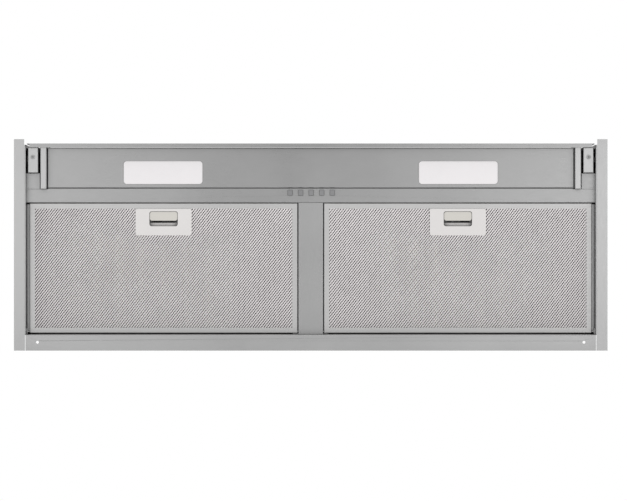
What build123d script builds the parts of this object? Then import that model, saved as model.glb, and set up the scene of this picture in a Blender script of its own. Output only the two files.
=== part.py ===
from build123d import *
import os
from math import cos, degrees, radians, sin, sqrt

# A built-in range hood: a sheet-steel canopy that fits inside a wall cabinet, with its fan box on top.
# Millimetres. X runs across, Y from the front (-) to the wall (+), Z up. The origin is the middle of
# the underside of the cabinet flange, so the hood's lit, filtered side looks down at Z = 0.

# ---- Driving dimensions ----
overall_width = 898.0
overall_depth = 320.0
canopy_height = 130.0
fan_box_height = 220.0
collar_height = 45.0
sheet = 0.8  # canopy and fan box steel
top_fold = 10.0  # of the side walls, under the deck
bend = 2.0  # outer radius of a visible fold
running_gap = 0.1  # a pin in its hole, on the radius
slip_gap = 0.3  # between pieces that move past each other

# Cabinet flange
side_flange = 17.5  # from the wall's inner face to the edge
rear_flange = 24.5
wall_setback = 8.5  # the side wall starts this far behind the flange's front edge
flange_hole_r = 2.25
flange_hole_end = 35.6  # from the flange's ends
flange_hole_inset = 12.7  # from its rear edge
side_hole_r = 2.5
side_hole_drop = 35.0  # below the deck
side_hole_spacing = 180.0

# Front flap, which carries the cabinet's door strip
flap_setback = 6.5
flap_sheet = 1.2
flap_gap = 1.5  # to the side walls
flap_bottom = 3.0
flap_top_gap = 25.0  # to the top of the canopy
flap_hem = 5.9
flap_corner_r = 4.0
flap_hole_r = 2.5
flap_hole_spacing_x = 640.0
flap_hole_spacing_z = 50.0
pivot_setback = 38.5  # behind the flap's front face
pivot_drop = 18.0  # below the top of the canopy
pivot_r = 3.0
eye_r = 9.0
shoulder_r = 7.0
pin_head = 1.5
pin_head_r = 5.5

# Channel brackets on the side walls, and the flap's arms beside them
bracket_gap = 3.0  # wall to bracket, and bracket to arm
bracket_width = 15.9
bracket_depth = 38.5
bracket_setback = 5.8
bracket_top_gap = 8.0
bracket_sheet = 1.0
arm_width = 9.6
arm_depth = 67.7
arm_tail = 13.0
arm_shoulder = 12.0  # the arm's joint with the flap ends this far below the pivot
arm_sheet = 1.0
hardware_bottom = 5.0  # undersides of brackets and arms
hardware_bend = 1.5  # outer radius round those undersides
boss_r = 6.0
boss_spacing = 50.0
corner_screw_r = 3.2
corner_screw_head = 1.6
corner_screw_inset = 14.7  # from the bracket's front

# Lamp panel and control plate, which face down
plate_z = 20.0
plate_bend = 1.2  # outer radius of their folds
panel_setback = 5.9
panel_depth = 61.0
panel_gap = 1.5  # to the arms
groove = 0.6
control_depth = 22.0
edge_fold = 10.0  # the control plate's front edge
panel_fold = 4.0  # the lamp panel's rear edge and ends
upstand = 30.0  # the control plate's rear edge
bulkhead_lap = 13.2
corner_depth = 22.5  # of the plate's corners, in front of the controls

# Lamps
lamp_end = 174.5  # centre, from the panel's end
lamp_length = 119.4
lamp_width = 34.5
lamp_corner_r = 4.7
lamp_inset = 37.9  # centre, behind the panel's front
lamp_housing_height = 26.0
housing_wall = 1.2
lens_thick = 2.6
lens_rim = 1.5  # round the window, on the panel
lens_gap = 0.3
led = 5.0
led_thick = 1.4
led_spacing = 17.0
led_count = 6

# Push buttons
button_count = 5
button_pitch = 16.0
button_row_x = 0.7
button_width = 6.7
button_depth = 8.0
button_inset = 6.8  # centre, behind the control plate's front edge
button_proud = 2.5
button_corner_r = 0.8
button_wing = 1.2
button_travel = 2.0
stem = 4.0
key_height = 3.5
key_room = 4.0  # above the board
switch_height = 20.0
switch_wall = 1.2
switch_side = 0.6
board = 1.6

# Grease filters
filter_thick = 9.0
filter_drop = 1.0  # underside, above the plate's level
filter_wall_gap = 4.9
filter_rail_gap = 1.0
filter_front_gap = 0.8
filter_rear_gap = 1.6
filter_sheet = 0.6
frame_lip = 8.2
frame_bend = 1.2  # outer radius round the underside
pivot_pin_r = 1.7
pivot_pin_inset = 2.5  # from the filter's rear edge
pivot_pin_rise = 3.0  # above its underside
net_pitch_x = 25.5
net_pitch_y = 18.0
net_strand = 2.4
core_layers = 4

# Latch
latch_width = 85.2
latch_depth = 40.4
latch_plate = 1.6
latch_corner_r = 3.0
pocket_width = 43.0
pocket_r = 3.5
pocket_inset = 3.8
pocket_height = 7.4  # above the plate
pocket_wall = 1.2
thumb_depth = 13.6
thumb_thick = 2.4
ledge_depth = 5.3
finger_depth = 4.2
latch_travel = 4.0
tongue_width = 18.0
tongue_thick = 1.6
tongue_reach = 0.4  # left between the tongue's tip and its catch
spring_r = 1.4

# Centre rail and the ledges that the filters lie under
rail_width = 38.0
rail_bend = 1.5
ledge = 8.0
ledge_gap = 1.0
ledge_leg = 12.0
tab_thick = 1.8
tab_width = 10.0

# Fan box
box_half_width = 170.0
box_front = 128.0  # in front of the middle
box_rear = 122.0
box_flange = 12.0
throat_half_width = 150.0  # the deck's opening into the box
throat_front = 50.0
throat_rear = 105.0

# Fan
fan_y = -38.0
fan_z = 224.0
wheel_r = 75.0
wheel_inner_r = 63.0
wheel_half = 52.0
segments = 10  # of each blade ring
segment_blades = 4
blade = 1.1
blade_sag = 1.0
blade_lead = 5.0
ring = 1.5
disc = 2.0
scroll_start_r = 82.0
scroll_growth = 7.0  # for each quarter turn
scroll_half = 65.0
scroll_wall = 2.0
scroll_tongue = 27.0
scroll_lip = 8.0
inlet_r = 64.0
motor_r = 42.0
motor_length = 64.0
motor_cap = 6.0
shaft_r = 4.0
hub_r = 10.0
hub_length = 22.0
grommet_r = 6.0
grommet_height = 7.0
spider_thick = 1.5
spider_r = 74.0
spider_angles = (90, 210, 330)

# Outlet
duct_r = 75.0
collar_wall = 1.2
collar_foot = 12.0
foot_thick = 1.5
damper_z = 18.0  # pin, above the fan box lid
damper_thick = 1.2
damper_pin_r = 2.0
knuckle_r = 4.0
knuckle_length = 30.0
knuckle_pitch = 31.0
stop_ring = 3.3

# Electrical pieces
terminal_gap = 50.0  # to the fan box
terminal_size = 80.0
terminal_height = 42.0
terminal_wall = 2.5
gland_r = 9.0
cable_r = 4.0
driver_length = 110.0
driver_width = 34.0
driver_height = 24.0
driver_x = -90.0
capacitor_r = 17.0
capacitor_length = 62.0
saddle = 2.0
rivet_r = 3.2
rivet_head = 1.2
screw_r = 3.5
screw_head = 2.0

# ---- Worked out from them ----
half_width = overall_width / 2
front_y = -overall_depth / 2
rear_y = overall_depth / 2
wall_x = half_width - side_flange  # side wall, inner face
back_y = rear_y - rear_flange  # rear wall, inner face
wall_front = front_y + wall_setback
deck_z = canopy_height - sheet  # deck, underside
box_top = canopy_height + fan_box_height
flange_hole_x = half_width - flange_hole_end
flange_hole_y = rear_y - flange_hole_inset
side_hole_z = canopy_height - side_hole_drop

flap_y = front_y + flap_setback
flap_x = wall_x - flap_gap
flap_height = canopy_height - flap_top_gap - flap_bottom
pivot_y = flap_y + pivot_setback
pivot_z = canopy_height - pivot_drop
bracket_x = wall_x - bracket_gap  # bracket, outer face
bracket_y = flap_y + bracket_setback
bracket_inner = bracket_x - bracket_width
bracket_top = canopy_height - bracket_top_gap
boss_y = bracket_y + bracket_depth / 2
boss_heights = (side_hole_z - boss_spacing, side_hole_z)
corner_screw_y = bracket_y + corner_screw_inset
arm_x = bracket_inner - bracket_gap  # arm, outer face
arm_inner = arm_x - arm_width
arm_y = flap_y + flap_sheet
hem_top = flap_bottom + flap_sheet
arm_rear = arm_y + arm_depth

panel_x = arm_inner - panel_gap
panel_y = flap_y + panel_setback
panel_rear = panel_y + panel_depth
control_y = panel_rear + groove
control_rear = control_y + control_depth
plate_top = plate_z + sheet
corner_y = control_y - corner_depth
corner_x = arm_x + panel_gap

lamp_x = panel_x - lamp_end
lamp_y = panel_y + lamp_inset
housing_top = plate_top + lamp_housing_height
button_y = control_y + button_inset
switch_top = plate_top + switch_height
button_x = [button_row_x + (i - (button_count - 1) / 2) * button_pitch for i in range(button_count)]
switch_half = (button_count - 1) / 2 * button_pitch + 14.0
switch_y = (control_y + bend, button_y + button_depth / 2 + 2.0)
board_roof = switch_top - switch_wall
card_z = board_roof - key_room - board
stem_top = card_z - key_height - button_travel - slip_gap

rail_x = rail_width / 2
filter_z = plate_z + filter_drop
filter_top = filter_z + filter_thick
filter_x0 = rail_x + filter_rail_gap
filter_x1 = wall_x - filter_wall_gap
filter_mid = (filter_x0 + filter_x1) / 2
filter_y0 = control_rear + filter_front_gap
filter_y1 = back_y - filter_rear_gap
hinge_y = filter_y1 - pivot_pin_inset
hinge_z = filter_z + pivot_pin_rise
ledge_z = filter_top + ledge_gap

latch_y0 = filter_y0 + frame_lip + 0.2
latch_y1 = latch_y0 + latch_depth
latch_top = plate_z + latch_plate
pocket_y0 = latch_y0 + pocket_inset
pocket_depth = thumb_depth + latch_travel + ledge_depth - 0.2
pocket_y1 = pocket_y0 + pocket_depth
thumb_y0 = pocket_y0 + 2 * slip_gap
thumb_y1 = thumb_y0 + thumb_depth
thumb_z = plate_z + 2 * slip_gap
thumb_top = thumb_z + thumb_thick
tongue_z = thumb_top + 1.0
tongue_top = tongue_z + tongue_thick
fin_y = thumb_y0 + thumb_depth / 2
ledge_y = pocket_y1 - ledge_depth
finger_roof = plate_z + finger_depth
spring_z = tongue_top + slip_gap

motor_x = -scroll_half - grommet_height
shaft_x = motor_x + 10.3  # its end inside the motor
outlet_y0 = fan_y + scroll_tongue
outlet_y1 = fan_y + scroll_start_r + 3 * scroll_growth
collar_y = (outlet_y0 + outlet_y1) / 2
collar_top = box_top + collar_height
pin_z = box_top + damper_z

terminal_x = box_half_width + terminal_gap + terminal_size / 2
terminal_y = control_rear + terminal_size / 2
terminal_top = canopy_height + terminal_height
gland_z = canopy_height + terminal_height / 2

here = "parts"
os.makedirs(here, exist_ok=True)


# ---- Shapes that many pieces share ----
def block(x0, x1, y0, y1, z0, z1):
    """A box from its six limits."""
    middle = Pos((x0 + x1) / 2, (y0 + y1) / 2, (z0 + z1) / 2)
    return middle * Box(x1 - x0, y1 - y0, z1 - z0)


def about(middle, half):
    """The two limits that lie half on each side of the middle."""
    return middle - half, middle + half


def both(x0, x1):
    """A range of X on the right, and its mirror image on the left."""
    return (x0, x1), (-x1, -x0)


def rod_x(x0, x1, y, z, r):
    """A cylinder along X."""
    return Pos((x0 + x1) / 2, y, z) * Rot(0, 90, 0) * Cylinder(r, x1 - x0)


def rod_y(x, y0, y1, z, r):
    """A cylinder along Y."""
    return Pos(x, (y0 + y1) / 2, z) * Rot(90, 0, 0) * Cylinder(r, y1 - y0)


def rod_z(x, y, z0, z1, r):
    """A cylinder along Z."""
    return Pos(x, y, (z0 + z1) / 2) * Cylinder(r, z1 - z0)


def rounded(x, y, z0, z1, width, depth, r):
    """An upright block with round corners, centred on x, y."""
    return extrude(Pos(x, y, z0) * RectangleRounded(width, depth, r), z1 - z0)


def side_plane(x):
    """Looking along X: its own x is Y, its own y is Z."""
    return Plane(origin=(x, 0, 0), x_dir=(0, 1, 0), z_dir=(1, 0, 0))


def front_plane(y):
    """Looking along Y: its own x is X, its own y is Z."""
    return Plane(origin=(0, y, 0), x_dir=(1, 0, 0), z_dir=(0, -1, 0))


def fold_y(points, r, y0, y1):
    """A folded sheet that runs along Y. points are its middle line in X and Z."""
    return extrude(front_plane(y1) * trace(FilletPolyline(*points, radius=r), sheet), y1 - y0)


def fold_x(points, r, x0, x1):
    """A folded sheet that runs along X. points are its middle line in Y and Z."""
    return extrude(side_plane(x0) * trace(FilletPolyline(*points, radius=r), sheet), x1 - x0)


def mirrored(piece):
    """The same piece on the other side."""
    return mirror(piece, about=Plane.YZ)


def joined(pieces):
    """Several pieces of one kind, as separate solids of one node."""
    return Compound(children=[solid for piece in pieces for solid in piece.solids()])


def save(name, piece):
    """Writes one node."""
    export_step(piece, f"{here}/{name}.step")


def save_pair(name, piece):
    """Writes a right-hand piece, and its mirror image on the left."""
    save(f"{name}_right", piece)
    save(f"{name}_left", mirrored(piece))


# ---- Canopy ----
def side_panel():
    """Right-hand wall: its flange turns outwards along the bottom, and its top edge inwards."""
    mid = sheet / 2
    wall = [(wall_x + mid, mid), (wall_x + mid, deck_z - mid)]
    panel = fold_y([(half_width, mid), *wall], bend - mid, wall_front, back_y + sheet)
    panel += block(wall_x, wall_x + sheet, wall_front, panel_y, deck_z - sheet, deck_z)
    panel += fold_y([*wall, (wall_x - top_fold, deck_z - mid)], bend - mid, panel_y, back_y)
    panel += block(wall_x, wall_x + sheet, back_y, back_y + sheet, deck_z - sheet, deck_z)
    panel += block(wall_x + bend, half_width, front_y, wall_front, 0, sheet)
    panel += block(wall_x + sheet, half_width, back_y + sheet, rear_y, 0, sheet)
    for y in about(0, side_hole_spacing / 2):
        panel -= rod_x(wall_x - 1, wall_x + bend, y, side_hole_z, side_hole_r)
    return panel


def rear_panel():
    """Rear wall with its flange, which turns back along the bottom and takes two screws."""
    mid = sheet / 2
    profile = [(rear_y, mid), (back_y + mid, mid), (back_y + mid, deck_z)]
    panel = fold_x(profile, bend - mid, -wall_x, wall_x)
    for x in about(0, flange_hole_x):
        panel -= rod_z(x, flange_hole_y, -1, bend, flange_hole_r)
    return panel


def top_deck():
    """Flat roof of the canopy, on the walls' folded edges, with the opening into the fan box."""
    deck = block(*about(0, wall_x + sheet), panel_y, back_y + sheet, deck_z, canopy_height)
    through = (deck_z - 1, canopy_height + 1)
    deck -= block(*about(0, throat_half_width), -throat_front, throat_rear, *through)
    return deck - rod_z(terminal_x, terminal_y, *through, gland_r)


def bulkhead():
    """Upright sheet that keeps grease out of the front compartment."""
    back = control_rear - sheet
    sides = (back - sheet, back)
    wall = block(-wall_x, wall_x, *sides, plate_z + upstand - bulkhead_lap, deck_z - bend)
    return wall + block(*about(0, wall_x - top_fold - slip_gap), *sides, deck_z - bend, deck_z)


def control_plate():
    """Strip with the button holes. Its corners run forward beside the arms, and its rear edge turns up."""
    mid = sheet / 2
    rear = [(control_rear - mid, plate_z + mid), (control_rear - mid, plate_z + upstand)]
    front = [(control_y + mid, plate_z + edge_fold), (control_y + mid, plate_z + mid)]
    plate = fold_x(front + rear, plate_bend - mid, -panel_x, panel_x)
    for x in both(panel_x, wall_x):
        plate += fold_x([(control_y + panel_gap, plate_z + mid), *rear], plate_bend - mid, *x)
    for x in both(corner_x, wall_x):
        plate += block(*x, corner_y, control_y + plate_bend, plate_z, plate_top)
    for x in both(wall_x - sheet, wall_x):
        plate += block(*x, corner_y, control_rear - plate_bend, plate_z, plate_z + edge_fold)
    for x in button_x:
        hole = (button_width + 2 * slip_gap, button_depth + 2 * slip_gap)
        plate -= rounded(x, button_y, plate_z - 1, plate_top + 1, *hole, button_corner_r)
    for x in (-filter_mid, filter_mid):
        slot = about(x, tongue_width / 2 + 1)
        plate -= block(*slot, control_rear - plate_bend, control_rear + 1, tongue_z - 1, tongue_top + 1)
    return plate


def lamp_panel():
    """Lower front panel between the arms, with a window for each lamp. Its front edge turns up."""
    mid = sheet / 2
    profile = [
        (panel_y + mid, deck_z),
        (panel_y + mid, plate_z + mid),
        (panel_rear - mid, plate_z + mid),
        (panel_rear - mid, plate_z + panel_fold),
    ]
    panel = fold_x(profile, plate_bend - mid, -panel_x, panel_x)
    for x in both(panel_x - sheet, panel_x):
        panel += block(*x, panel_y + mid, panel_rear - mid, plate_z + mid, plate_z + panel_fold)
    window = (lamp_length + 2 * lens_gap, lamp_width + 2 * lens_gap, lamp_corner_r + lens_gap)
    for x in (-lamp_x, lamp_x):
        panel -= rounded(x, lamp_y, plate_z - 1, plate_top + 1, *window)
    return panel


def centre_rail():
    """Inverted channel between the two filters, with flanges that lie over their inner edges."""
    mid = sheet / 2
    right = [(rail_x - mid, plate_z + mid), (rail_x - mid, ledge_z + mid), (rail_x + ledge, ledge_z + mid)]
    left = [(-x, z) for x, z in reversed(right)]
    rail = fold_y(left + right, rail_bend - mid, control_rear, back_y)
    return rail - rod_x(*about(0, rail_x + 1), hinge_y, hinge_z, pivot_pin_r + running_gap)


def filter_hangers():
    """Angle strips on the side walls: a ledge over each filter's outer edge, and its pivot tab."""
    leg_top = ledge_z + ledge_leg
    run = (control_rear + bend, back_y - tab_width / 2)
    strip = block(wall_x - sheet, wall_x, *run, ledge_z, leg_top)
    strip += block(filter_x1 - ledge / 2, wall_x, *run, ledge_z, ledge_z + sheet)
    tab = (hinge_y - tab_width / 2, back_y - slip_gap)
    strip += block(wall_x - tab_thick, wall_x, *tab, filter_z - 1, leg_top)
    strip -= rod_x(wall_x - tab_thick - 1, wall_x + 1, hinge_y, hinge_z, pivot_pin_r + running_gap)
    return joined([strip, mirrored(strip)])


# ---- Front flap ----
def front_flap():
    """Plate that carries the cabinet's own strip of door, with a hem along its bottom."""
    middle = flap_bottom + flap_height / 2
    outline = Pos(0, middle) * RectangleRounded(2 * flap_x, flap_height, flap_corner_r)
    plate = extrude(front_plane(flap_y) * outline, -flap_sheet)
    for x in about(0, flap_hole_spacing_x / 2):
        for z in about(middle, flap_hole_spacing_z / 2):
            plate -= rod_y(x, flap_y - 1, arm_y + 1, z, flap_hole_r)
    hem = block(*about(0, flap_x - flap_corner_r), flap_y, flap_y + flap_hem, flap_bottom, hem_top)
    return plate + hem


def flap_arm():
    """Right-hand arm: a channel whose two cheeks rise from its foot to an eye on the pivot."""
    foot = hardware_bottom + arm_tail
    top = pivot_z - arm_shoulder
    corners = [(arm_rear, foot), (arm_rear, hardware_bottom), (arm_y, hardware_bottom), (arm_y, top)]
    eye = CenterArc((pivot_y, pivot_z), eye_r, 0, 360)
    arm = extrude(side_plane(arm_inner) * make_hull([*Polyline(*corners).edges(), *eye.edges()]), arm_width)
    arm = fillet(arm.edges().group_by(Axis.Z)[0], hardware_bend)
    inside = (arm_inner + arm_sheet, arm_x - arm_sheet)
    web = hardware_bottom + arm_sheet
    arm -= block(*inside, arm_y + arm_sheet, arm_rear + 1, web, canopy_height)
    arm -= block(*inside, arm_y - 1, arm_rear + 1, top, canopy_height)
    return arm - rod_x(arm_inner - 1, arm_x + 1, pivot_y, pivot_z, pivot_r + running_gap)


def hinge_bracket():
    """Right-hand pivot bracket: a tall channel, closed at the bottom, that stands on two bosses."""
    t, rear, top = bracket_sheet, bracket_y + bracket_depth, bracket_top
    bracket = block(bracket_inner, bracket_x, bracket_y, rear, hardware_bottom, top)
    bracket = fillet(bracket.edges().group_by(Axis.Z)[0], hardware_bend)
    bracket -= block(
        bracket_inner + t, bracket_x - t, bracket_y + t, rear + 1, hardware_bottom + t, top + 1
    )
    for z in boss_heights:
        bracket += rod_x(bracket_x - t, wall_x, boss_y, z, boss_r)
    return bracket - rod_x(bracket_inner - 1, bracket_x + 1, pivot_y, pivot_z, pivot_r)


def hinge_pins():
    """One headed pin on each side, with a shoulder between the arm and its bracket."""
    start = arm_inner - slip_gap
    pin = rod_x(start, bracket_x, pivot_y, pivot_z, pivot_r)
    pin += rod_x(start - pin_head, start, pivot_y, pivot_z, pin_head_r)
    pin += rod_x(arm_x + slip_gap / 2, bracket_inner, pivot_y, pivot_z, shoulder_r)
    return joined([pin, mirrored(pin)])


# ---- Lamps ----
def lens_step(top, grow):
    """The rim that the diffuser rests on, or the room for it in the housing."""
    length = lamp_length + 2 * (lens_rim + grow)
    width = lamp_width + 2 * (lens_rim + grow)
    return rounded(lamp_x, lamp_y, plate_top, top, length, width, lamp_corner_r + lens_rim + grow)


def lamp_lens():
    """Right-hand diffuser: it fills the window and rests on its own rim."""
    lens = rounded(lamp_x, lamp_y, plate_z, plate_top, lamp_length, lamp_width, lamp_corner_r)
    return lens + lens_step(plate_z + lens_thick, 0)


def lamp_housing():
    """Right-hand lamp body: a closed box over the diffuser, open below."""
    body = lens_step(housing_top, lens_gap + housing_wall)
    inside = lens_step(housing_top - housing_wall, 0)
    return body - inside - lens_step(plate_z + lens_thick, lens_gap)


def led_boards():
    """A strip of lamps under each housing's roof."""
    top = housing_top - housing_wall
    strip = block(*about(lamp_x, lamp_length / 2 - 4), *about(lamp_y, 9), top - board, top)
    for i in range(led_count):
        x = lamp_x + (i - (led_count - 1) / 2) * led_spacing
        strip += block(*about(x, led / 2), *about(lamp_y, led / 2), top - board - led_thick, top - board)
    return joined([strip, mirrored(strip)])


def led_driver():
    """Power unit for the lamps, hung under the deck in the front compartment."""
    y = (panel_y + control_rear) / 2
    body = rounded(driver_x, y, deck_z - driver_height, deck_z, driver_length, driver_width, 3)
    for x in about(driver_x, driver_length / 2 + 5):
        body += block(*about(x, 7), *about(y, 8), deck_z - 2, deck_z)
    return body


# ---- Controls ----
def switch_housing():
    """Box over the button stems."""
    x0, x1 = about(button_row_x, switch_half)
    y0, y1 = switch_y
    body = block(x0, x1, y0, y1, plate_top, switch_top)
    inside = block(
        x0 + switch_wall, x1 - switch_wall, y0 + switch_side, y1 - switch_side, plate_top - 1, board_roof
    )
    return body - inside


def switch_board():
    """Circuit board with one key switch over each stem, and its pins above."""
    x0, x1 = about(button_row_x, switch_half - switch_wall)
    card = block(x0, x1, switch_y[0] + switch_side, switch_y[1] - switch_side, card_z, card_z + board)
    for x in button_x:
        card += block(*about(x, 3), *about(button_y, 3), card_z - key_height, card_z)
        card += block(*about(x, 2), *about(button_y, 2), card_z + board, board_roof)
    return card


def button(x):
    """Cap, retaining wings and stem."""
    cap = rounded(x, button_y, plate_z - button_proud, plate_top + 0.5, button_width, button_depth, 0.6)
    wings = (about(x, button_width / 2 + button_wing), about(button_y, button_depth / 2 - 0.1))
    wing_z = plate_top + slip_gap
    shank = block(*about(x, stem / 2), *about(button_y, stem / 2), plate_top, stem_top)
    return cap + block(*wings[0], *wings[1], wing_z, wing_z + button_wing) + shank


# ---- Grease filters ----
def filter_frame():
    """Right-hand frame: a channel bent round the four edges, with a pivot pin at each rear corner."""
    t, lip = filter_sheet, frame_lip
    x, y = (filter_x0, filter_x1), (filter_y0, filter_y1)
    frame = block(*x, *y, filter_z, filter_top)
    frame = fillet(frame.edges().group_by(Axis.Z)[0], frame_bend)
    frame -= block(x[0] + t, x[1] - t, y[0] + t, y[1] - t, filter_z + t, filter_top - t)
    frame -= block(x[0] + lip, x[1] - lip, y[0] + lip, y[1] - lip, filter_z - 1, filter_top + 1)
    frame -= tongue_slot(filter_y0 - 1, filter_y0 + 2 * t)
    frame += rod_x(rail_x - sheet - 0.6, filter_x0 + t, hinge_y, hinge_z, pivot_pin_r)
    return frame + rod_x(filter_x1 - t, wall_x - slip_gap, hinge_y, hinge_z, pivot_pin_r)


def tongue_slot(y0, y1):
    """The room that the latch's tongue slides in."""
    wide = about(filter_mid, tongue_width / 2 + slip_gap)
    return block(*wide, y0, y1, tongue_z - slip_gap, tongue_top + slip_gap)


def pocket_hole(z0, z1):
    """The room that a net or a filter layer leaves for the latch pocket and its tongue."""
    grow = pocket_wall + slip_gap
    wide = about(filter_mid, pocket_width / 2 + grow)
    hole = block(*wide, pocket_y0 - grow, pocket_y1 + grow, z0, z1)
    return hole + block(*about(filter_mid, tongue_width / 2 + 1), filter_y0, pocket_y0, z0, z1)


def diamonds(scale):
    """Diamond gaps in staggered rows, inside the frame's lip and clear of the latch pocket."""
    pitch_x, pitch_y, strand = net_pitch_x * scale, net_pitch_y * scale, net_strand * scale
    wide, deep = (pitch_x - strand) / 2, (pitch_y - strand) / 2
    columns = int((filter_x1 - filter_x0 - 2 * frame_lip) // pitch_x)
    rows = int(2 * (filter_y1 - filter_y0 - 2 * frame_lip - pitch_y) // pitch_y) + 1
    gaps = []
    for row in range(rows):
        count = columns - row % 2
        y = (filter_y0 + filter_y1) / 2 + (row - (rows - 1) / 2) * pitch_y / 2
        for i in range(count):
            x = (i - (count - 1) / 2) * pitch_x
            beside = abs(x) - wide < pocket_width / 2 + pocket_wall + strand
            if beside and y - deep < pocket_y1 + pocket_wall + strand:
                continue
            gaps.append(Pos(filter_mid + x, y) * Polygon((wide, 0), (0, deep), (-wide, 0), (0, -deep)))
    return gaps


def filter_layer(z0, scale):
    """One flat holed layer that fits inside the frame."""
    edge = filter_sheet + slip_gap / 2
    wide = (filter_x0 + edge, filter_x1 - edge)
    flat = block(*wide, filter_y0 + edge, filter_y1 - edge, z0, z0 + filter_sheet)
    flat -= extrude(Pos(0, 0, z0 - 1) * Sketch(children=diamonds(scale)), filter_sheet + 2)
    return flat - pocket_hole(z0 - 1, z0 + filter_sheet + 1)


def filter_net():
    """Right-hand outer net, on the frame's lower lip."""
    return filter_layer(filter_z + filter_sheet, 1)


def filter_core():
    """Right-hand inner layers, each with wider gaps. The last lies under the frame's upper lip."""
    first = filter_z + 3 * filter_sheet + 0.4
    step = (filter_top - 2 * filter_sheet - first) / (core_layers - 1)
    return joined([filter_layer(first + step * i, 1.9 - 0.1 * i) for i in range(core_layers)])


def latch_housing():
    """Right-hand latch plate with its finger pocket. A ledge at the pocket's rear seats the spring."""
    top = latch_top + pocket_height
    roof = top - pocket_wall
    middle_y = (latch_y0 + latch_y1) / 2
    plate = rounded(filter_mid, middle_y, plate_z, latch_top, latch_width, latch_depth, latch_corner_r)
    wide = about(filter_mid, pocket_width / 2 + pocket_wall)
    plate += block(*wide, pocket_y0 - pocket_wall, pocket_y1 + pocket_wall, latch_top, top)
    pocket_y = (pocket_y0 + pocket_y1) / 2
    plate -= rounded(filter_mid, pocket_y, plate_z - 1, roof, pocket_width, pocket_depth, pocket_r)
    plate -= block(*about(filter_mid, pocket_width / 2 - pocket_r), thumb_y1, ledge_y, roof - 1, top + 1)
    plate -= tongue_slot(pocket_y0 - 3, pocket_y0 + 1)
    return plate + block(*about(filter_mid, pocket_width / 2), ledge_y, pocket_y1, finger_roof, roof)


def latch_slider():
    """Right-hand slider: a thumb piece, and above it the tongue that holds the filter shut."""
    thumb = (pocket_width - 4 * slip_gap, thumb_depth, pocket_r)
    tip = control_rear + tongue_reach
    slider = rounded(filter_mid, (thumb_y0 + thumb_y1) / 2, thumb_z, thumb_top, *thumb)
    slider += block(*about(filter_mid, tongue_width / 2 + 3), thumb_y0, fin_y, thumb_top, tongue_top)
    slider += block(*about(filter_mid, tongue_width / 2), tip, fin_y, tongue_z, tongue_top)
    fin = (fin_y - tongue_thick, fin_y)
    return slider + block(*about(filter_mid, 4), *fin, tongue_z, spring_z + spring_r)


def latch_spring():
    """Right-hand return spring, from the slider's fin to the ledge, as the sleeve that its turns fill."""
    spring = rod_y(filter_mid, fin_y, ledge_y, spring_z, spring_r)
    return spring - rod_y(filter_mid, fin_y - 1, ledge_y + 1, spring_z, spring_r - 0.5)


# ---- Fan box ----
def fan_box():
    """Four walls on a turned-out foot."""
    x, y0, y1 = box_half_width, -box_front, box_rear
    walls = block(-x, x, y0, y1, canopy_height, box_top - sheet)
    foot = about(0, x + box_flange)
    walls += block(*foot, y0 - box_flange, y1 + box_flange, canopy_height, canopy_height + sheet)
    inside = about(0, x - sheet)
    return walls - block(*inside, y0 + sheet, y1 - sheet, canopy_height - 1, box_top + 1)


def fan_box_lid():
    """Top sheet with a turned-down skirt and the scroll's outlet."""
    x, y0, y1 = box_half_width, -box_front, box_rear
    skirt = box_top - box_flange
    lid = block(-x - sheet, x + sheet, y0 - sheet, y1 + sheet, skirt, box_top)
    lid -= block(-x, x, y0, y1, skirt - 1, box_top - sheet)
    mouth = about(0, scroll_half - scroll_wall)
    return lid - block(*mouth, outlet_y0, outlet_y1, box_top - sheet - 1, box_top + 1)


def scroll_outline(grow):
    """The scroll's inner outline, or one that lies grow outside it: arcs that widen by quarter turns."""
    top = box_top - sheet
    g, r = scroll_growth, scroll_start_r + grow
    left, right = outlet_y0 - grow, outlet_y1 + grow
    start = (left, fan_z + sqrt(r**2 - (left - fan_y) ** 2))
    over = (fan_y + r * cos(radians(135)), fan_z + r * sin(radians(135)))
    front = (fan_y - r, fan_z)
    below = (fan_y + g, fan_z - r - g)
    behind = (right, fan_z + g)
    outline = ThreePointArc(start, over, front).edges()
    outline += RadiusArc(front, below, -(r + g)).edges()
    outline += RadiusArc(below, behind, -(r + 2 * g)).edges()
    outline += Polyline(behind, (right, top), (left, top), start).edges()
    return make_face(outline)


def scroll():
    """Right half of the scroll: side wall with its round inlet, half the rim and half the outlet flange."""
    outer = scroll_outline(scroll_wall)
    shell = extrude(side_plane(0) * (outer - scroll_outline(0)), scroll_half)
    shell += extrude(side_plane(scroll_half - scroll_wall) * outer, scroll_wall)
    shell -= rod_x(0, scroll_half + 1, fan_y, fan_z, inlet_r)
    top = box_top - sheet
    edge = (outlet_y0 - scroll_lip, outlet_y1 + scroll_lip)
    flange = block(0, scroll_half + scroll_lip, *edge, top - scroll_wall, top)
    flange -= block(-1, scroll_half - scroll_wall, outlet_y0, outlet_y1, top - scroll_wall - 1, top + 1)
    return shell + flange


def blade_ring(x0, x1):
    """Forward-curved blades from x0 to x1, held by a ring at the open end. Built in equal segments."""
    edge = ring / 2
    arc = ThreePointArc(
        (wheel_inner_r + edge, 0),
        ((wheel_inner_r + wheel_r) / 2, -blade_sag),
        (wheel_r - edge, blade_lead),
    )
    profile = trace(arc, blade)
    segment, pitch = 360 / segments, 360 / segments / segment_blades
    fan = Sketch(children=[Rot(0, 0, pitch * i) * profile for i in range(segment_blades)])
    clear = pitch / 2 - degrees(blade_lead / wheel_r) / 2  # a seam runs midway between two blades
    outer = CenterArc((0, 0), wheel_r, -clear, segment)
    inner = CenterArc((0, 0), wheel_inner_r, -clear, segment)
    rim = make_face([outer, inner, Line(inner @ 0, outer @ 0), Line(inner @ 1, outer @ 1)])
    start = x0 if x0 < 0 else x1 - ring
    part = extrude(side_plane(x0) * fan, x1 - x0) + extrude(side_plane(start) * rim, ring)
    return [Pos(0, fan_y, fan_z) * Rot(segment * i, 0, 0) * part for i in range(segments)]


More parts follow.
